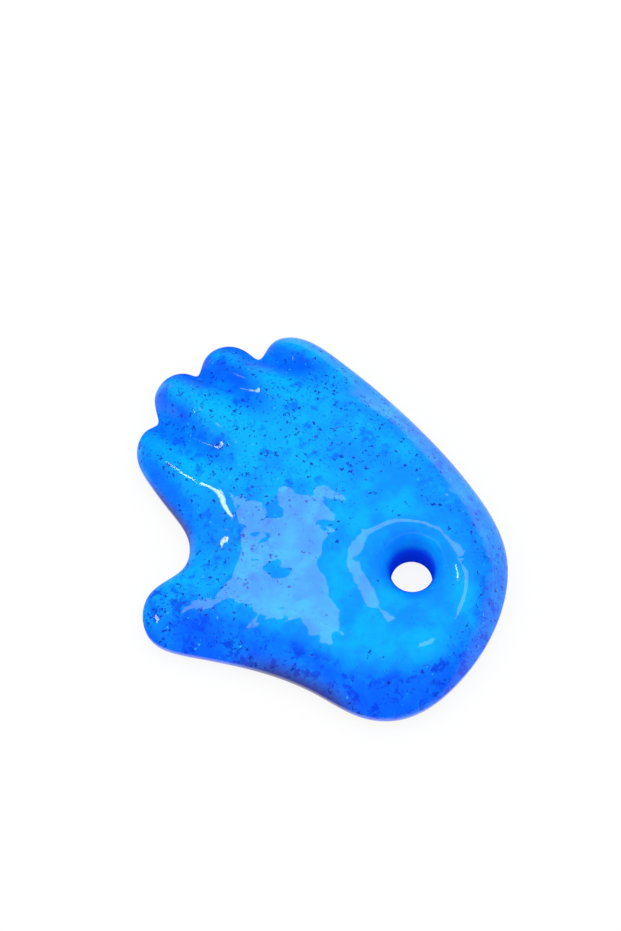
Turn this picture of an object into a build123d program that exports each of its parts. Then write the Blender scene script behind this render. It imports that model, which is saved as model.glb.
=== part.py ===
from build123d import *
from math import cos, exp, hypot, radians, sin, sqrt
import os

# Hamsa hand pendant: a hand pressed from clay, fired, under a fused glass glaze.
# All sizes are in millimetres. The origin lies on the cord-hole axis at the flat back.
# +Z comes out of the front, +Y runs to the fingertips, the thumb is on the -X side.

# Cord hole and the two layers
bore_radius = 2.5
glaze_thickness = 0.5
glaze_line = 0.4

# Fingertips and the gaps between them, on the glazed outline seen from the front
tip_little = (11.4, 34.2)
tip_ring = (4.9, 38.9)
tip_middle = (-2.4, 40.2)
tip_index = (-10.2, 36.6)
gap_little_ring = (8.0, 33.2)
gap_ring_middle = (0.9, 37.2)
gap_middle_index = (-6.9, 36.0)
gap_radius = 0.9
index_shoulder = (-13.2, 33.0)
little_shoulder = (14.6, 30.2)

# Outline from the index finger round the thumb and wrist to the little finger
index_side = [(-14.3, 27.5), (-15.6, 22.6)]
thumb = [(-18.8, 20.4), (-24.0, 21.0), (-28.0, 17.2), (-26.0, 11.6), (-22.0, 4.9)]
wrist = [(-19.3, -2.0), (-17.6, -8.2), (-13.6, -12.4), (-6.5, -13.7), (2.5, -11.8), (10.0, -6.3)]
little_side = [(13.4, 2.0), (14.8, 11.0), (15.2, 20.0)]
side_stations = 24

# Pillow of the front: it rises from the waist over the pillow reach, shorter at the fingers
slab_height = 9.0
foot_radius = 1.5
rim_radius = 1.0
waist_height = 2.4
pillow_reach = 7.2
finger_reach = 5.0
pillow_power = 1.35
rim_start = 0.5
rim_spill = 3.0

# Crown of the front: the palm slopes down to the corner between the thumb and the wrist
palm_height = 7.0
finger_drop = 0.7
finger_start = 14.0
finger_run = 26.0
ramp_drop = 2.3
ramp_turn = 44.0
ramp_start = 11.0
ramp_run = 22.0
ramp_side = -3.0
ramp_width = 8.0

# Raised lip round the cord hole; the bowl inside it is not concentric with the hole
lip_centre = (-2.9, -1.7)
lip_radius = 8.4
lip_rise = 0.6
lip_reach = 2.7
bowl_floor = 0.6
bowl_share = 0.97

# Valleys between the fingers: lean is the sideways shift for each mm down from the fingertips
valley_depth = 2.0
valley_width = 1.8
valley_length = 14.0
valley_leans = [(gap_middle_index, 0.06), (gap_ring_middle, 0.16), (gap_little_ring, 0.28)]

# Rows of the crown: the front is a loft through one spline for each x, with a station for each y
rows_x = (-32.0, 19.0, 32)
stations_y = (-18.0, 44.0, 40)
block_floor = -6.0
slope_step = 0.1
steepest = 2.0

with BuildSketch() as glazed_outline:
    with BuildLine():
        ring = ThreePointArc(gap_little_ring, tip_ring, gap_ring_middle)
        middle = ThreePointArc(gap_ring_middle, tip_middle, gap_middle_index)
        index = ThreePointArc(gap_middle_index, tip_index, index_shoulder)
        little = ThreePointArc(little_shoulder, tip_little, gap_little_ring)
        side_points = [index_shoulder] + index_side + thumb + wrist + little_side + [little_shoulder]
        Spline(side_points, tangents=[index % 1, little % 0])
    make_face()
    gap_corners = [
        v for v in glazed_outline.vertices()
        if min(hypot(v.X - gap[0], v.Y - gap[1]) for gap, lean in valley_leans) < 0.01
    ]
    fillet(gap_corners, radius=gap_radius)

rim_wire = glazed_outline.sketch.faces()[0].outer_wire()
rim_count = 400
rim_points = [rim_wire.position_at(i / rim_count) for i in range(rim_count)]
rim_step = rim_wire.length / rim_count
straight_sum = 1.178  # the same sum beside a straight edge at a distance of 1


def inward(edge, u):
    """Unit vector from the outline into the hand."""
    heading = edge.tangent_at(u)
    normal = Vector(-heading.Y, heading.X)
    inside = glazed_outline.sketch.faces()[0].is_inside(edge.position_at(u) + normal * 0.01)
    return normal if inside else -normal


def hand_sketch(inset):
    """Outline of the hand, each edge moved inwards by the inset."""
    with BuildSketch() as sketch:
        with BuildLine():
            for edge in rim_wire.edges():
                places = 2 if edge.geom_type == GeomType.CIRCLE else side_stations
                turns = [i / places for i in range(places + 1)]
                moved = [edge.position_at(u) + inward(edge, u) * inset for u in turns]
                if edge.geom_type == GeomType.CIRCLE:
                    ThreePointArc(*moved)
                else:
                    Spline(moved, tangents=[edge % 0, edge % 1])
        make_face()
    return sketch.sketch


def rim_distance(x, y):
    """Smooth distance from (x, y) to the outline, negative outside it: a sum of inverse sixth powers
    round the outline, which leaves no crease along the middle of a finger."""
    spans = [max(hypot(p.X - x, p.Y - y), 0.05) for p in rim_points]
    near = min(range(rim_count), key=spans.__getitem__)
    before, after = rim_points[near - 1], rim_points[(near + 1) % rim_count]
    turn = (after.X - before.X) * (y - before.Y) - (after.Y - before.Y) * (x - before.X)
    if turn * rim_turn <= 0:
        return -spans[near]
    if spans[near] < rim_step:
        return spans[near]
    return (sum(span ** -6 for span in spans) * rim_step / straight_sum) ** -0.2


rim_turn = 1
rim_turn = 1 if rim_distance(0, 0) > 0 else -1


def blend(t):
    """Smooth step from 0 to 1."""
    t = min(max(t, 0), 1)
    return t * t * (3 - 2 * t)


def pillow(distance, reach):
    """Share of the crown's height at a distance from the rim, carried on straight outside it."""
    u = (max(distance, 0) + rim_start) / (reach + rim_start)
    inner = 1 - max(1 - u, 0) ** pillow_power
    if distance >= 0:
        return inner ** (1 / pillow_power)
    slope = (1 - u) ** (pillow_power - 1) * inner ** (1 / pillow_power - 1) / (reach + rim_start)
    return inner ** (1 / pillow_power) + slope * distance / (1 - distance / rim_spill)


def crown(x, y):
    """Height of the glazed front: a pillow under a palm that slopes to the thumb and the wrist,
    a lip with a bowl inside it, and three valleys that fade out towards the palm."""
    turn = radians(ramp_turn)
    ahead = x * cos(turn) + y * sin(turn)
    aside = x * sin(turn) - y * cos(turn)
    z = palm_height - finger_drop * blend((y - finger_start) / finger_run)
    z -= ramp_drop * blend((ramp_start - ahead) / ramp_run) * blend((ramp_side - aside) / ramp_width)
    rho = max(hypot(x, y), 0.01)
    centre_along = (lip_centre[0] * x + lip_centre[1] * y) / rho
    crest = centre_along + sqrt(lip_radius ** 2 - hypot(*lip_centre) ** 2 + centre_along ** 2)
    z += lip_rise * exp(-((rho - crest) / lip_reach) ** 2)
    for (gap_x, gap_y), lean in valley_leans:
        across = (x - gap_x - lean * (gap_y - y)) / valley_width
        z -= valley_depth * blend((y - gap_y + valley_length) / valley_length) * exp(-across ** 2)
    reach = pillow_reach + (finger_reach - pillow_reach) * blend((y - finger_start) / (finger_run / 2))
    z = waist_height + (z - waist_height) * pillow(rim_distance(x, y), reach)
    inner = max((crest - rho) / (crest - bore_radius), 0)
    inner *= bowl_share / (1 + inner ** 12) ** (1 / 12)
    return bowl_floor + (z - bowl_floor) * sqrt(1 - inner ** 2)


def crown_height(x, y, inset):
    """Height of the front set back by the inset along the surface normal."""
    slope_x = (crown(x + slope_step, y) - crown(x - slope_step, y)) / (2 * slope_step)
    slope_y = (crown(x, y + slope_step) - crown(x, y - slope_step)) / (2 * slope_step)
    steepness = sqrt(1 + slope_x ** 2 + slope_y ** 2)
    return crown(x, y) - inset * min(steepness, steepest)


def stations(first, last, count):
    return [first + (last - first) * i / (count - 1) for i in range(count)]


def crown_block(inset):
    """Everything under the front, down past the back: a loft through parallel sections. The rows
    share one set of spline parameters, so the loft has the same knots in every row."""
    count = stations_y[2]
    even = [i / (count - 1) for i in range(count)]
    with BuildPart() as block:
        for x in stations(*rows_x):
            row = [(y, crown_height(x, y, inset)) for y in stations(*stations_y)]
            with BuildSketch(Plane.YZ.offset(x)):
                with BuildLine():
                    add(Edge.make_spline([Vector(*point) for point in row], parameters=even))
                    Polyline(row[-1], (row[-1][0], block_floor), (row[0][0], block_floor), row[0])
                make_face()
        loft()
    return block.part


def hand_form(inset):
    """The solid hand: a slab with a rounded foot, cut down to the crown, set back by the inset."""
    with BuildPart() as form:
        add(hand_sketch(inset))
        extrude(amount=slab_height)
        fillet(form.faces().sort_by(Axis.Z)[0].edges(), radius=foot_radius - inset)
        add(crown_block(inset), mode=Mode.INTERSECT)
        front = form.faces().sort_by(SortBy.AREA)[-1]
        fillet(front.outer_wire().edges(), radius=rim_radius - inset)
        Hole(radius=bore_radius + inset)
    return form.part


with BuildPart() as clay_body:
    add(hand_form(glaze_thickness))
clay_body.part.label = "clay_body"

with BuildPart() as glaze_coat:
    add(hand_form(0))
    split(bisect_by=Plane.XY.offset(glaze_line), keep=Keep.TOP)
    add(clay_body.part, mode=Mode.SUBTRACT)
glaze_coat.part.label = "glaze_coat"

os.makedirs("parts", exist_ok=True)
export_step(clay_body.part, "parts/clay_body.step")
export_step(glaze_coat.part, "parts/glaze_coat.step")
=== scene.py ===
import math

import bpy
import numpy as np
from mathutils import Matrix


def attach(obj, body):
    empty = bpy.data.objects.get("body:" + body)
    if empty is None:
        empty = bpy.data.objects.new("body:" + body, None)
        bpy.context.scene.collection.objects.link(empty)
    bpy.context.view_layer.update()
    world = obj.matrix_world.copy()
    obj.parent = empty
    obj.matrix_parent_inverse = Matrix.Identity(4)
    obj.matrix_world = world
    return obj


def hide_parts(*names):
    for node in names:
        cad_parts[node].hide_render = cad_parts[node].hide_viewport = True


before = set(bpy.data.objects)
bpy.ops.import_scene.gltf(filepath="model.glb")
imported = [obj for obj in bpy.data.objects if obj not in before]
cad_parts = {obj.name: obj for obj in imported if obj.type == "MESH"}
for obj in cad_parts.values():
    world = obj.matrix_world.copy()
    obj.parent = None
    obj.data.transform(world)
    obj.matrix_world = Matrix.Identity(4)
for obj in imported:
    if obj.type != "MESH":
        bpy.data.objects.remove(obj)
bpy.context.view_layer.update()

# Sizes of the hand in millimetres, in the CAD frame: the cord hole is on the Z axis, the back at z = 0
MM = 0.001                   # metres
BORE = 2.5                   # radius of the glazed cord hole
BOWL_FLOOR = 0.6             # height where the bowl has become the straight bore
BOWL_POWER = 2.8             # 2 is a quarter ellipse, more gives a broader lip
LIP_CENTRE = (-2.9, -1.7)    # middle of the lip, which is not concentric with the hole
LIP_RADIUS = 8.4             # radius of the lip's crest
LIP_RISE = 0.6               # how far the lip stands above the palm
LIP_REACH = 2.7              # how far the lip spreads outwards
LIP_DENT = 0.9               # the crest runs this much nearer the hole on the little-finger side
DENT_WAY = (0.64, -0.77)     # direction of that dent from the hole
LIP_FADE = 1.0               # share of the rise lost on the thumb side, where the palm runs into the lip
PALM = 7.0                   # height of the palm
FINGER_DROP = 0.5            # the fingertips lie this much lower
FINGER_START, FINGER_RUN = 14.0, 26.0
RAMP_DROP = 2.3              # the palm slopes down to the corner between thumb and wrist
RAMP_TURN = 44.0             # heading of the slope, degrees from +X
RAMP_START, RAMP_RUN = 11.0, 22.0
RAMP_SIDE, RAMP_WIDTH = -3.0, 8.0
RAMP_SPREAD = 7.0            # the slope spreads this far towards the hole at its low end
WRIST_TILT = 0.95            # the wrist end falls this much towards its little-finger corner
WEB_DROP = 0.35              # the front falls a little to the web between index finger and thumb
WAIST = 2.4                  # height where the hand is widest
POWER = 1.35                 # curve of the pillow: 2 is a quarter circle, 1 a straight slope
FOOT_INSET = 1.0             # how far the sides tuck under towards the back
GLAZE_LINE = 0.4             # the glaze stops this far above the back
GLAZE = 0.45                 # depth of the clay below the glazed surface
SKIN = 0.40                  # glaze thickness

# How far in from the rim the front rises: palm, fingers, index finger, wrist and little-finger edge
PILLOW, FINGER_PILLOW, INDEX_PILLOW, WRIST_PILLOW = 7.2, 5.0, 6.5, 4.3
INDEX_TIP_MORE = 0.9         # and this much farther at the tip of the index finger

# Mesh steps: round the rim, round the rim for measuring, and rings from the bore to the back
AROUND, AROUND_FINE = 740, 2400
BOWL_RINGS, FRONT_RINGS, SIDE_RINGS, FOOT_RINGS, BACK_RINGS = 27, 72, 10, 5, 23
INNER_STEP, CLAY_STEP = 6, 2  # the unseen faces keep every sixth and every second ring

# Level direction from the camera across the hand: the wrist tilts along it, and the painted shade on the
# near side is set by it
FAR = (0.7193, 0.6947, 0.0)

# Rim of the hand seen from the front, anticlockwise from the wrist
RIM = [
    (-6.5, -13.7), (2.5, -11.8), (10.0, -6.3), (13.4, 2.0), (14.8, 11.0), (15.2, 20.0), (15.0, 26.0),
    (14.5, 30.4), (13.2, 33.1), (11.2, 34.3), (9.3, 34.0), (8.1, 33.9),
    (7.8, 35.6), (6.9, 37.8), (4.9, 38.9), (2.7, 38.5), (1.1, 37.8),
    (0.5, 38.8), (-0.8, 40.0), (-2.6, 40.3), (-4.7, 39.5), (-6.2, 37.6), (-7.1, 36.6),
    (-8.4, 36.9), (-10.3, 36.6), (-12.3, 34.9), (-13.4, 32.0), (-14.3, 27.5), (-15.6, 22.8),
    (-18.8, 20.5), (-24.0, 21.0), (-28.0, 17.2), (-26.0, 11.6), (-22.0, 4.9),
    (-19.3, -2.0), (-17.6, -8.2), (-13.6, -12.4),
]
CHORD_POWER = 0.6            # spans of the rim's spline: 0.5 is centripetal, 1 follows the chords
STRAIGHT_SUM = 1.178         # sum of inverse sixth powers along a straight edge at a distance of 1

# Valleys between the fingers: mouth x and y, sideways lean for each mm down, depth, length
VALLEYS = [(-7.1, 36.4, 0.06, 2.1, 15.0), (1.0, 37.6, 0.16, 2.1, 14.5), (8.1, 33.7, 0.28, 2.0, 13.5)]
VALLEY_GENTLE, VALLEY_STEEP = 2.5, 2.0    # half width on the index side and on the little-finger side
VALLEY_WIDEN = 0.03          # and this much wider for each mm down
VALLEY_TAPER = 0.7           # less than 1 keeps the valley deep for longer

# Hand-pressed waves: height, then x rate, y rate and phase of two sines that cross
WAVES = [
    (0.035, (0.55, 0.31, 0.8), (0.23, -0.61, 2.1)),
    (0.022, (1.25, -0.7, 0.0), (0.8, 1.3, 1.0)),
    (0.008, (2.6, 1.1, 0.4), (-1.3, 2.9, 0.0)),
]

# Bubbles and craters in the glaze: x, y, radius, height
BUBBLES = [
    (-8.0, 15.4, 1.25, 0.2), (-3.7, 17.9, 0.7, 0.12), (-2.6, 34.9, 0.6, 0.14), (-4.05, 10.4, 0.5, 0.2),
    (-1.6, 7.0, 0.6, 0.08), (2.9, 8.2, 0.5, -0.12), (-5.6, 13.6, 0.8, -0.07), (9.4, 3.0, 0.5, 0.1),
]


def fade(value, start, full):
    """Smooth step: 0 at start, 1 at full, and three t squared less two t cubed between them."""
    t = np.clip((value - start) / (full - start), 0.0, 1.0)
    return t * t * (3.0 - 2.0 * t)


def closed_spline(points, count):
    """Closed cubic spline through the points, cut into equal lengths: the slopes solve the ring of
    equations that makes the curvature continuous, and each span is a power of its chord."""
    p = np.asarray(points, float)
    n = len(p)
    h = np.linalg.norm(np.roll(p, -1, 0) - p, axis=1) ** CHORD_POWER
    i = np.arange(n)
    before = np.roll(h, 1)
    a = np.zeros((n, n))
    a[i, i] = 2.0 * (before + h)
    a[i, (i + 1) % n] += before
    a[i, (i - 1) % n] += h
    step = (np.roll(p, -1, 0) - p) / h[:, None]
    m = np.linalg.solve(a, 3.0 * (before[:, None] * step + h[:, None] * np.roll(step, 1, 0)))
    knots = np.concatenate([[0.0], np.cumsum(h)])

    def at(s):
        k = np.clip(np.searchsorted(knots, s, side="right") - 1, 0, n - 1)
        u = ((s - knots[k]) / h[k])[:, None]
        q, r, hk = (k + 1) % n, u - 1.0, h[k][:, None]
        return ((1 + 2 * u) * r ** 2 * p[k] + u * r ** 2 * hk * m[k]
                + u ** 2 * (3 - 2 * u) * p[q] + u ** 2 * r * hk * m[q])

    s = np.linspace(0.0, knots[-1], 40 * n + 1)
    pieces = np.linalg.norm(np.diff(at(s), axis=0), axis=1)
    length = np.concatenate([[0.0], np.cumsum(pieces)])
    return at(np.interp(np.arange(count) / count * length[-1], length, s))


rim = closed_spline(RIM, AROUND)
rim_fine = closed_spline(RIM, AROUND_FINE)
rim_step = np.linalg.norm(np.roll(rim_fine, -1, 0) - rim_fine, axis=1)
rim_radius = np.hypot(rim[:, 0], rim[:, 1])[:, None]
rim_way = rim / rim_radius
tangent = np.roll(rim, -1, 0) - np.roll(rim, 1, 0)
tangent /= np.linalg.norm(tangent, axis=1)[:, None]
outward = np.stack([tangent[:, 1], -tangent[:, 0]], 1)


def rim_distance(x, y):
    """Smooth distance to the rim: the inverse sixth power of the distance, summed round the rim, gives
    the distance beside a straight edge and no crease along the middle of a finger. Close to the rim
    the plain distance takes over. It goes ring by ring, to save memory."""
    out = np.empty(x.shape)
    for ring in range(x.shape[1]):
        gap = (x[:, ring, None] - rim_fine[:, 0]) ** 2 + (y[:, ring, None] - rim_fine[:, 1]) ** 2
        near = np.sqrt(gap.min(1))
        soft = ((rim_step / (gap + 0.0004) ** 3).sum(1) / STRAIGHT_SUM) ** -0.2
        out[:, ring] = near + (soft - near) * fade(near, 0.15, 0.65)
    return out


def valley(x, y):
    """Depth of the valleys between the fingers: a bell across, gentle on its index side and steep on
    its little-finger side, a smooth step along."""
    depth = np.zeros(x.shape)
    for mouth_x, mouth_y, lean, deep, length in VALLEYS:
        along = fade(y, mouth_y - length, mouth_y) ** VALLEY_TAPER
        across = x - mouth_x - lean * (mouth_y - y)
        width = np.where(across < 0.0, VALLEY_GENTLE, VALLEY_STEEP) + VALLEY_WIDEN * (mouth_y - y)
        depth += deep * along * np.exp(-(across / width) ** 2)
    return depth


def crest(x, y):
    """Distance from the hole to the lip's crest in the direction of each point: a circle round the lip's
    centre, seen from the hole, less the dent."""
    rho = np.maximum(np.hypot(x, y), 1e-6)
    along = (LIP_CENTRE[0] * x + LIP_CENTRE[1] * y) / rho
    dent = LIP_DENT * fade((DENT_WAY[0] * x + DENT_WAY[1] * y) / rho, 0.549, 0.999)
    return along + np.sqrt(LIP_RADIUS ** 2 - LIP_CENTRE[0] ** 2 - LIP_CENTRE[1] ** 2 + along ** 2) - dent


def crown(x, y):
    """Height of the front before the rim rounds it over: a palm that falls to the fingertips, to the
    corner between thumb and wrist, to the web and to the wrist's other corner, with the lip round the
    hole, hand-pressed waves and bubbles, less the valleys."""
    turn = math.radians(RAMP_TURN)
    ahead = x * math.cos(turn) + y * math.sin(turn)
    aside = x * math.sin(turn) - y * math.cos(turn)
    z = PALM - FINGER_DROP * fade(y, FINGER_START, FINGER_START + FINGER_RUN)
    ramp_edge = RAMP_SIDE + RAMP_SPREAD * fade(ahead, -2.0, -10.0)
    ramp_share = fade(aside, ramp_edge, RAMP_SIDE - RAMP_WIDTH)
    z -= RAMP_DROP * fade(ahead, RAMP_START, RAMP_START - RAMP_RUN) * ramp_share
    z -= WEB_DROP * fade(x, -9.0, -14.0) * fade(y, 5.0, 10.0) * fade(y, 22.0, 17.0)
    away, beside = x * FAR[0] + y * FAR[1], x * FAR[1] - y * FAR[0]
    z -= WRIST_TILT * fade(away, 3.5, -9.5) * fade(beside, 0.0, 5.0)
    thumbward = (LIP_CENTRE[0] - x) / np.maximum(np.hypot(x - LIP_CENTRE[0], y - LIP_CENTRE[1]), 0.1)
    lip = LIP_RISE * (1.0 - LIP_FADE * fade(thumbward, 0.2, 0.9))
    z += lip * np.exp(-((np.hypot(x, y) - crest(x, y)) / LIP_REACH) ** 2)
    for height, (ax, ay, a0), (bx, by, b0) in WAVES:
        z += height * np.sin(ax * x + ay * y + a0) * np.sin(bx * x + by * y + b0)
    for bubble_x, bubble_y, radius, height in BUBBLES:
        z += height * np.exp(-((x - bubble_x) ** 2 + (y - bubble_y) ** 2) / radius ** 2)
    return z - valley(x, y)


def pillow_reach(x, y):
    """How far in from the rim the front rises at each point: blends of the named reaches."""
    reach = PILLOW + (FINGER_PILLOW - PILLOW) * fade(y, FINGER_START, FINGER_START + 0.5 * FINGER_RUN)
    index = INDEX_PILLOW + INDEX_TIP_MORE * fade(y, 19.0, 31.0)
    reach += (index - reach) * fade(y, 14.0, 20.0) * fade(x, -6.5, -9.5)
    wrist = fade(y, -1.0, -8.0) * fade(x, -11.5, -5.5)
    little_edge = fade(x, 1.0, 7.0) * fade(y, 22.0, 14.0)
    return reach + (WRIST_PILLOW - PILLOW) * np.maximum(wrist, little_edge)


def tuck(z):
    """How far the side lies inside the rim at a height below the waist: a quarter ellipse."""
    return FOOT_INSET * (1.0 - np.sqrt(1.0 - ((WAIST - z) / WAIST) ** 2))


def side_rings(heights, inset):
    """Rings of the side at the given heights, set in from the rim by the tuck and the inset."""
    rings = np.empty((AROUND, len(heights), 3))
    rings[:, :, :2] = rim[:, None, :] - outward[:, None, :] * (tuck(heights) + inset)[None, :, None]
    rings[:, :, 2] = heights
    return rings


def hand_surface():
    """Glazed surface on a grid, mm: from the bore up the bowl to the lip's crest, out to the rim, and down
    the tucked side to the glaze line. The front is a pillow: a superellipse of the rim distance. The
    bowl is a superellipse from the crest to the bore. The side is a quarter ellipse."""
    ring = crest(rim[:, :1], rim[:, 1:])
    t = np.arange(BOWL_RINGS)[None, :] / BOWL_RINGS
    rho_in = BORE + (ring - BORE) * (1.0 - np.cos(0.5 * np.pi * t))
    t = np.linspace(0.0, 1.0, FRONT_RINGS)[None, :]
    rho_out = ring + (rim_radius - ring) * (0.35 * t + 0.65 * np.sin(0.5 * np.pi * t))
    rho = np.concatenate([rho_in, rho_out], 1)
    x, y = rim_way[:, :1] * rho, rim_way[:, 1:] * rho
    near = rim_distance(x, y)
    near[:, -1] = 0.0
    inside = np.clip(near / pillow_reach(x, y), 0.0, 1.0)
    z = WAIST + (crown(x, y) - WAIST) * (1.0 - (1.0 - inside) ** POWER) ** (1.0 / POWER)
    down = np.clip((ring - rho) / (ring - BORE), 0.0, 1.0)
    z = BOWL_FLOOR + (z - BOWL_FLOOR) * (1.0 - down ** BOWL_POWER) ** (1.0 / BOWL_POWER)
    front = np.stack([x, y, z], -1)
    drop = np.arange(1, SIDE_RINGS + 1) / SIDE_RINGS
    side = side_rings(WAIST - (WAIST - GLAZE_LINE) * np.sin(0.5 * np.pi * drop), 0.0)
    bore = np.concatenate([rim_way * BORE, np.full((AROUND, 1), GLAZE_LINE)], 1)[:, None, :]
    return np.concatenate([bore, front, side], 1)


def grid_normals(p):
    """Unit normals of a grid that closes round its first axis."""
    du = np.roll(p, -1, 0) - np.roll(p, 1, 0)
    dv = np.gradient(p, axis=1)
    n = np.cross(dv, du)
    return n / np.maximum(np.linalg.norm(n, axis=2, keepdims=True), 1e-9)


def glaze_marks(surface):
    """Where the colour and gloss change, as shares from 0 to 0.95 at each point of the surface: some are
    the glaze's own, some painted light and shade, as each mark says below. They are placed as the photo
    shows them and stay on the hand; where no cause is given below, it isn't known."""
    x, y, z = surface[..., 0], surface[..., 1], surface[..., 2]
    rho, ring = np.hypot(x, y), crest(x, y)
    outside = rho > ring
    beyond = fade(rho - ring, 0.0, 2.8)
    edge = np.where(z < WAIST, 0.0, rim_distance(x, y))
    # 1 on the thumb and wrist side, the side towards the camera that gets less light, 0 on the far side
    near_side = fade(0.62 * (outward @ np.array(FAR[:2])), 0.5, -0.5)[:, None]
    # deeper blue in the valleys, round the near rim and on the thumb: partly pooled glaze, partly painted
    # shade on the flanks and on the side towards the camera
    pool_and_shade = 1.35 * np.clip(valley(x - 0.7, y) / 1.8, 0.0, 1.0) ** 1.5
    pool_and_shade += beyond * fade(edge, 7.2, 1.8) * (0.25 + 0.75 * near_side) * (1.0 - 0.6 * fade(y, 9.0, 17.0))
    pool_and_shade += outside * 0.4 * fade(edge, 3.4, 1.4) * near_side * fade(y, 16.0, 22.0)
    pool_and_shade += outside * 0.6 * fade(x, -16.0, -20.0) * fade(edge, 7.0, 3.0) * near_side
    # dark curds along the wrist and at the tip of the thumb
    curd = beyond * fade(edge, 5.5, 2.5) * near_side * fade(y, 17.0, 11.0)
    curd = np.maximum(curd, 0.9 * fade(x, -20.0, -23.0) * fade(x + y, -12.0, -8.0))
    # painted shade: a darker blue on the wall of the cord hole
    hole_shade = np.where(outside, 0.0, fade(z, 5.4, 3.0) * fade(rho, 4.6, 3.4))
    # low on the sides, on the index side and under the thumb, purple-brown: partly the clay showing
    # through, partly painted shade near the floor and under the thumb
    thin_and_shaded = fade(x, -12.5, -14.5) * fade(y, 20.0, 24.0) * fade(y, 34.0, 30.0)
    thin_and_shaded = np.maximum(thin_and_shaded, fade(y, 9.0, 3.0) * fade(y, -9.0, -4.0) * fade(x, -14.0, -18.0))
    low = outside * np.maximum(fade(z, 1.6, 0.4), 0.85 * fade(z, 3.7, 2.3) * thin_and_shaded)
    # specks on the fingers, along the edges and fewer in the bowl
    fingers = fade(y, 6.0, 18.0)
    edges = np.maximum(fade(x, 4.0, 10.0), fade(x, -19.0, -24.0))
    speck = 0.10 + 0.8 * np.maximum(fingers, 0.75 * edges) + 0.4 * fade(edge, 4.5, 1.5) * outside
    speck *= np.where(outside, 1.0, 0.45)
    # painted light: lighter cyan on the backs of the fingers, where the crests catch more light
    ridge_light = fade(y, 19.0, 28.0) * (1.0 - np.clip(valley(x - 0.3, y) / 0.9, 0.0, 1.0)) * fade(edge, 0.6, 2.2)
    # less gloss in the bore and low in the bowl, in the valleys and on the far rim
    grooves = np.maximum(valley(x + 0.6, y) / 1.3, valley(x + 1.4, y) / 1.2)
    dull = np.maximum(hole_shade, 0.9 * np.clip(grooves, 0.0, 1.0))
    dull = np.maximum(dull, outside * 0.75 * fade(edge, 4.0, 1.0) * (1.0 - 0.7 * near_side))
    dull = np.maximum(dull, np.where(outside, 0.0, fade(z, 5.9, 4.6)))
    marks = {"ridge_light": ridge_light, "pool_and_shade": pool_and_shade, "curd": curd, "hole_shade": hole_shade, "low": low, "speck": speck,
             "dull": dull}
    return {name: np.clip(values, 0.0, 0.95) for name, values in marks.items()}


def ring_mesh(name, grid, marks):
    """Closed mesh of a grid in mm that closes round its first axis, and from its last ring to its first;
    marks are attributes by name."""
    rows, cols = grid.shape[:2]
    i, j = np.arange(rows)[:, None], np.arange(cols)[None, :]
    k, l = (i + 1) % rows, (j + 1) % cols
    quads = np.stack([i * cols + j, i * cols + l, k * cols + l, k * cols + j], -1).reshape(-1, 4)
    mesh = bpy.data.meshes.new(name)
    mesh.vertices.add(rows * cols)
    mesh.vertices.foreach_set("co", (grid * MM).astype(np.float32).ravel())
    mesh.loops.add(quads.size)
    mesh.loops.foreach_set("vertex_index", quads.ravel().astype(np.int32))
    mesh.polygons.add(len(quads))
    mesh.polygons.foreach_set("loop_start", np.arange(0, quads.size, 4, dtype=np.int32))
    mesh.polygons.foreach_set("use_smooth", np.ones(len(quads), bool))
    mesh.update(calc_edges=True)
    for mark, values in marks.items():
        layer = mesh.attributes.new(mark, "FLOAT", "POINT")
        layer.data.foreach_set("value", values.astype(np.float32).ravel())
    piece = bpy.data.objects.new(name, mesh)
    bpy.context.collection.objects.link(piece)
    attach(piece, "root")
    return piece


def linear(code):
    """sRGB hex to linear colour."""
    c = np.array([int(code[i:i + 2], 16) for i in (1, 3, 5)]) / 255.0
    return tuple(np.where(c <= 0.04045, c / 12.92, ((c + 0.055) / 1.055) ** 2.4)) + (1.0,)


def node(tree, kind, sockets=(), out=None, **settings):
    """Adds a node, sets its properties, and fills its sockets, by name or in order, with numbers, hex
    colours or other nodes' outputs. Gives back the node, or the output that is asked for."""
    made = tree.nodes.new(kind)
    for key, value in settings.items():
        setattr(made, key, value)
    for key, value in sockets.items() if isinstance(sockets, dict) else enumerate(sockets):
        if isinstance(value, bpy.types.NodeSocket):
            tree.links.new(value, made.inputs[key])
        else:
            made.inputs[key].default_value = linear(value) if isinstance(value, str) else value
    return made if out is None else made.outputs[out]


def new_material(name):
    """Empty material with its node tree."""
    material = bpy.data.materials.new(name)
    material.use_nodes = True
    material.node_tree.nodes.clear()
    return material, material.node_tree


# Settings that many nodes share
TIMES = {"out": 0, "operation": "MULTIPLY"}
SMOOTH = {"out": 0, "interpolation_type": "SMOOTHSTEP"}    # sockets: value, from, to, first, last
COLOURS = {"out": 2, "data_type": "RGBA"}
FIRST, SECOND = 6, 7                                       # sockets of the two colours to mix


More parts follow.
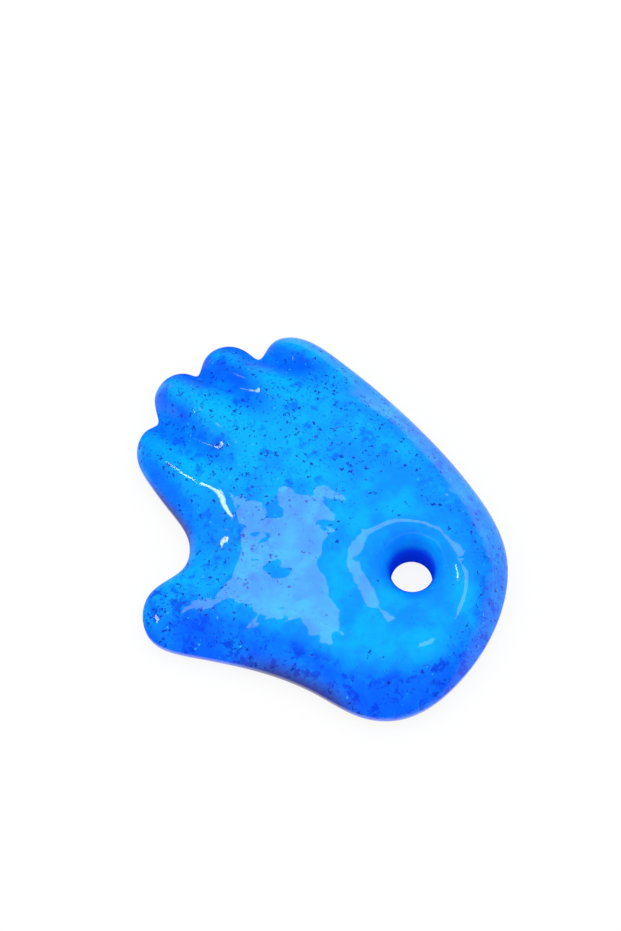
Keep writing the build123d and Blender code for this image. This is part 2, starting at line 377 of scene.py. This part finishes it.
def specks(tree, place, pitch, size, share):
    """Mask of ragged specks: one at most in each cell of a pitch in mm, up to a size in mm, in the share
    of the cells that the share socket gives."""
    noise = {"Vector": place, "Scale": 1000.0 / (0.9 * size), "Detail": 2.0}
    ragged = node(tree, "ShaderNodeTexNoise", noise, out="Color")
    shift = node(tree, "ShaderNodeVectorMath", [ragged, (0.5, 0.5, 0.5)], out=0, operation="SUBTRACT")
    move = node(tree, "ShaderNodeVectorMath", {0: shift, "Scale": 0.0024 * size}, out=0, operation="SCALE")
    bent = node(tree, "ShaderNodeVectorMath", [place, move], out=0, operation="ADD")
    cells = node(tree, "ShaderNodeTexVoronoi", {"Vector": bent, "Scale": 1000.0 / pitch})
    draw = node(tree, "ShaderNodeSeparateColor", [cells.outputs["Color"]])
    chosen = node(tree, "ShaderNodeMath", [draw.outputs[0], share], out=0, operation="LESS_THAN")
    reach = node(tree, "ShaderNodeMapRange", [draw.outputs[1], 0.0, 1.0, 0.35, 1.0], **SMOOTH)
    reach = node(tree, "ShaderNodeMath", [reach, 0.5 * size / pitch], **TIMES)
    part = node(tree, "ShaderNodeMath", [cells.outputs["Distance"], reach], out=0, operation="DIVIDE")
    spot = node(tree, "ShaderNodeMapRange", [part, 0.7, 1.15, 1.0, 0.0], **SMOOTH)
    return node(tree, "ShaderNodeMath", [spot, chosen], **TIMES)


def glaze_material():
    """Alkaline glass glaze, melted on in the kiln: glossy, a thick blue glass, with painted light in
    lighter cyan on the backs of the fingers, a deeper blue in the valleys and round the near rim that is
    partly pooled glaze and partly painted shade, burnt specks, and pale dots painted as glints on small
    seeds."""
    material, t = new_material("blue_alkaline_glaze")
    place = node(t, "ShaderNodeTexCoord", out="Object")
    mark = {name: node(t, "ShaderNodeAttribute", out="Fac", attribute_name=name)
            for name in ("ridge_light", "pool_and_shade", "curd", "hole_shade", "low", "speck", "dull")}
    # clouds of paler and deeper glass about 5 mm across
    noise = {"Vector": place, "Scale": 200.0, "Detail": 5.0, "Roughness": 0.62}
    cloud = node(t, "ShaderNodeTexNoise", noise, out="Fac")
    paler = node(t, "ShaderNodeMapRange", [cloud, 0.36, 0.68], **SMOOTH)
    colour = node(t, "ShaderNodeMix", {0: paler, FIRST: "#0E8CFF", SECOND: "#0AAEFF"}, **COLOURS)
    # the deep blue varies with them, so its edge is not a clean line
    uneven = node(t, "ShaderNodeMapRange", [cloud, 0.25, 0.7, 1.15, 0.7], **SMOOTH)
    pooled_and_shaded = node(t, "ShaderNodeMath", [mark["pool_and_shade"], uneven], **TIMES)
    # smudges of deeper glass about 2.4 mm across, and dark curds about 1.8 mm across
    noise = {"Vector": place, "Scale": 420.0, "Detail": 4.0, "Roughness": 0.65}
    smudge = node(t, "ShaderNodeTexNoise", noise, out="Fac")
    smudge = node(t, "ShaderNodeMapRange", [smudge, 0.55, 0.68], **SMOOTH)
    smudge = node(t, "ShaderNodeMath", [smudge, mark["speck"]], **TIMES)
    noise = {"Vector": place, "Scale": 560.0, "Detail": 5.0, "Roughness": 0.75}
    curd = node(t, "ShaderNodeTexNoise", noise, out="Fac")
    curd = node(t, "ShaderNodeMapRange", [curd, 0.51, 0.58], **SMOOTH)
    curd = node(t, "ShaderNodeMath", [curd, mark["curd"]], **TIMES)
    # burnt specks of two sizes, and pale dots that are painted glints on small seeds; the burnt ones gather
    # in flocks about 4 mm across
    flock = node(t, "ShaderNodeTexNoise", {"Vector": place, "Scale": 250.0, "Detail": 2.0}, out="Fac")
    flock = node(t, "ShaderNodeMapRange", [flock, 0.35, 0.65, 0.3, 0.95], **SMOOTH)
    crowd = node(t, "ShaderNodeMath", [mark["speck"], flock], **TIMES)
    dark = specks(t, place, 0.52, 0.46, node(t, "ShaderNodeMath", [crowd, 0.7], **TIMES))
    fine = specks(t, place, 0.30, 0.26, crowd)
    seed_glints = specks(t, place, 0.62, 0.30, node(t, "ShaderNodeMath", [mark["speck"], 0.22], **TIMES))
    # each layer: its mask, its strength and its colour
    layers = [
        # lighter backs of the fingers: painted light
        (mark["ridge_light"], 0.75, "#06BAFF"),
        # deeper blue: partly pooled glaze, partly painted shade
        (pooled_and_shaded, 1.0, "#0462FF"),
        (smudge, 0.7, "#0850EC"),
        (curd, 0.75, "#0434D8"),
        # painted shade in the cord hole
        (mark["hole_shade"], 1.0, "#0848F0"),
        # purple-brown low down: partly bare clay, partly painted shade
        (mark["low"], 1.0, "#3A2C62"),
        # painted glints on small seeds
        (seed_glints, 0.6, "#3CC8FF"),
        (fine, 0.6, "#0A4CD4"),
        (dark, 0.85, "#0A2C9C"),
    ]
    for mask, strength, tint in layers:
        share = node(t, "ShaderNodeMath", [mask, strength], **TIMES)
        colour = node(t, "ShaderNodeMix", {0: share, FIRST: colour, SECOND: tint}, **COLOURS)
    # the glass heals over most specks and leaves a slight orange peel about 1.4 mm across
    peel = node(t, "ShaderNodeTexNoise", {"Vector": place, "Scale": 700.0, "Detail": 2.0}, out="Fac")
    pits = node(t, "ShaderNodeMath", [dark, 0.5], **TIMES)
    height = node(t, "ShaderNodeMath", [peel, pits], out=0, operation="SUBTRACT")
    bump = node(t, "ShaderNodeBump", {"Height": height, "Strength": 0.12, "Distance": 0.0001}, out="Normal")
    # full gloss is 0.5; it falls to none where the glaze is marked dull
    gloss = node(t, "ShaderNodeMapRange", [mark["dull"], 0.0, 0.95, 0.5, 0.0], **SMOOTH)
    glass = {"Base Color": colour, "Normal": bump, "Roughness": 0.04, "IOR": 1.45,
             "Specular IOR Level": gloss}
    bsdf = node(t, "ShaderNodeBsdfPrincipled", glass, out="BSDF")
    node(t, "ShaderNodeOutputMaterial", {"Surface": bsdf})
    return material


def clay_material():
    """Coarse red-brown earthenware, pressed, fired and left bare: matt, with grit and a rubbed surface."""
    material, t = new_material("bare_fired_clay")
    place = node(t, "ShaderNodeTexCoord", out="Object")
    # blots about 4 mm across, grit just under 0.5 mm
    noise = {"Vector": place, "Scale": 260.0, "Detail": 6.0, "Roughness": 0.65}
    blot = node(t, "ShaderNodeTexNoise", noise, out="Fac")
    blot = node(t, "ShaderNodeMapRange", [blot, 0.3, 0.7], **SMOOTH)
    colour = node(t, "ShaderNodeMix", {0: blot, FIRST: "#8A5B41", SECOND: "#B98A66"}, **COLOURS)
    grit = node(t, "ShaderNodeTexNoise", {"Vector": place, "Scale": 2200.0, "Detail": 3.0}, out="Fac")
    bump = node(t, "ShaderNodeBump", {"Height": grit, "Strength": 0.35, "Distance": 0.0002}, out="Normal")
    earth = {"Base Color": colour, "Normal": bump, "Roughness": 0.85, "IOR": 1.5}
    bsdf = node(t, "ShaderNodeBsdfPrincipled", earth, out="BSDF")
    node(t, "ShaderNodeOutputMaterial", {"Surface": bsdf})
    return material


# Glaze coat: the glazed surface as a closed skin, whose inner face lies just clear of the clay
surface = hand_surface()
normals = grid_normals(surface)
inner = (surface - normals * SKIN)[:, ::-INNER_STEP]
inner[:, 0] = surface[:, -1] - np.concatenate([outward * SKIN, np.zeros((AROUND, 1))], 1)
bore_edge = surface[:, :1] * np.array([1.0 + SKIN / BORE, 1.0 + SKIN / BORE, 1.0])
skin = np.concatenate([surface, inner[:, :-1], bore_edge], 1)
unmarked = np.zeros((AROUND, skin.shape[1] - surface.shape[1]))
marks = {name: np.concatenate([values, unmarked], 1) for name, values in glaze_marks(surface).items()}
glaze = ring_mesh("glaze", skin, marks)
glaze.data.materials.append(glaze_material())
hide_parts("glaze_coat")

# Clay body: the same surface set back by the glaze, closed by the bare foot and the flat back
core = surface - normals * GLAZE
hole = rim_way * (BORE + GLAZE)
core[:, 0, :2] = hole
foot = side_rings(GLAZE_LINE * (1.0 - np.arange(1, FOOT_RINGS + 1) / FOOT_RINGS), GLAZE)
foot_edge = foot[:, -1, None, :2]
inwards = np.arange(1, BACK_RINGS + 1)[None, :, None] / BACK_RINGS
back = foot_edge + (hole[:, None, :] - foot_edge) * inwards
back = np.concatenate([back, np.zeros((AROUND, BACK_RINGS, 1))], 2)
clay_grid = np.concatenate([core[:, ::CLAY_STEP], foot, back], 1)[::CLAY_STEP]
clay = ring_mesh("clay", clay_grid, {})
clay.data.materials.append(clay_material())
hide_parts("clay_body")

# Camera: a long lens from above the thumb side. Angles in degrees, distance in mm, scale in pixels for
# each mm, and the picture's size and the place of the hole in it in pixels
ELEVATION, AZIMUTH, DISTANCE, SCALE = 64.0, -46.0, 420.0, 8.2
WIDTH, HEIGHT, HOLE_U, HOLE_V = 621, 931, 411.5, 582.0
SENSOR = 36.0
e, a = math.radians(ELEVATION), math.radians(AZIMUTH)
behind = np.array([math.sin(a) * math.cos(e), -math.cos(a) * math.cos(e), math.sin(e)])
right = np.array([math.cos(a), math.sin(a), 0.0])
up = np.cross(behind, right)
centre = behind * DISTANCE - right * (HOLE_U - WIDTH / 2) / SCALE + up * (HOLE_V - HEIGHT / 2) / SCALE


def pose_matrix(x_axis, y_axis, z_axis, place):
    """Matrix of an object with these axes at a place in mm."""
    rows = np.column_stack([x_axis, y_axis, z_axis, np.asarray(place) * MM])
    return Matrix([list(row) for row in rows] + [[0, 0, 0, 1]])


camera = bpy.data.objects.new("camera", bpy.data.cameras.new("camera"))
camera.data.sensor_fit = "VERTICAL"
camera.data.sensor_height = SENSOR
camera.data.lens = SENSOR * SCALE * DISTANCE / HEIGHT
camera.data.clip_start = 0.01
camera.matrix_world = pose_matrix(right, up, behind, centre)
bpy.context.collection.objects.link(camera)
bpy.context.scene.camera = camera

PALM_MIDDLE = np.array([-4.0, 12.0, 5.0])    # the lamps are aimed here


def lamp(name, toward, distance, width, height, radiance, top):
    """Area lamp in a direction from the palm, sizes in mm, with a plain radiance; its height runs
    towards top."""
    d = np.array(toward, float)
    d /= np.linalg.norm(d)
    light = bpy.data.lights.new(name, "AREA")
    light.shape = "RECTANGLE"
    light.size, light.size_y = width * MM, height * MM
    light.energy = radiance * math.pi * light.size * light.size_y
    made = bpy.data.objects.new(name, light)
    side = np.cross(top, d)
    side /= np.linalg.norm(side)
    made.matrix_world = pose_matrix(side, np.cross(d, side), d, PALM_MIDDLE + d * distance)
    bpy.context.collection.objects.link(made)


# The softbox gives the broad reflection on the palm, the strip the thin line on the index finger
lamp("softbox", toward=(0.105, 0.101, 0.989), distance=600.0,
     width=321.0, height=222.0, radiance=2.6, top=FAR)
lamp("strip", toward=(-0.37, 0.557, 0.744), distance=700.0,
     width=45.0, height=120.0, radiance=18.0, top=(0.0, 1.0, 0.0))

# Floor: white where the camera and the reflections see it, and it keeps some of the shadow
FLOOR_HALF, FLOOR_Z = 2.0, -2e-5             # metres; just under the back, so that the two don't flicker
FLOOR_GLOW = 0.88
corners = [(-1, -1), (1, -1), (1, 1), (-1, 1)]
floor_mesh = bpy.data.meshes.new("floor")
floor_mesh.from_pydata([(i * FLOOR_HALF, j * FLOOR_HALF, FLOOR_Z) for i, j in corners], [], [(0, 1, 2, 3)])
floor = bpy.data.objects.new("floor", floor_mesh)
bpy.context.collection.objects.link(floor)
paper, t = new_material("white_paper_floor")
diffuse = node(t, "ShaderNodeBsdfDiffuse", {"Color": "#F6F6F6"}, out=0)
glow = node(t, "ShaderNodeEmission", {"Strength": 1.0}, out=0)
path = node(t, "ShaderNodeLightPath").outputs
seen = path["Is Camera Ray"]
for ray in ("Is Glossy Ray", "Is Transmission Ray"):
    seen = node(t, "ShaderNodeMath", [seen, path[ray]], out=0, operation="MAXIMUM")
share = node(t, "ShaderNodeMath", [seen, FLOOR_GLOW], **TIMES)
mixed = node(t, "ShaderNodeMixShader", [share, diffuse, glow], out=0)
node(t, "ShaderNodeOutputMaterial", {"Surface": mixed})
floor_mesh.materials.append(paper)

# Surround: white to the camera and as light, but darker overhead in reflections. That is matched to the
# photo, whose reflections look like a softbox in a darker room; a white one made the glaze look milky
SURROUND, MIRRORED_LOW, MIRRORED_HIGH = 0.98, 0.7, 0.08
world = bpy.data.worlds.new("surround")
bpy.context.scene.world = world
world.use_nodes = True
t = world.node_tree
t.nodes.clear()
direction = node(t, "ShaderNodeTexCoord", out="Generated")
upwards = node(t, "ShaderNodeSeparateXYZ", [direction], out="Z")
darker = node(t, "ShaderNodeMapRange", [upwards, 0.0, 0.15, MIRRORED_LOW, MIRRORED_HIGH], **SMOOTH)
mirrored = node(t, "ShaderNodeBackground", {"Color": "#FFFFFF", "Strength": darker}, out=0)
lit = node(t, "ShaderNodeBackground", {"Color": "#FFFFFF", "Strength": SURROUND}, out=0)
glossy = node(t, "ShaderNodeLightPath", out="Is Glossy Ray")
sky = node(t, "ShaderNodeMixShader", [glossy, lit, mirrored], out=0)
node(t, "ShaderNodeOutputWorld", {"Surface": sky})

bpy.context.scene.view_settings.view_transform = "Standard"
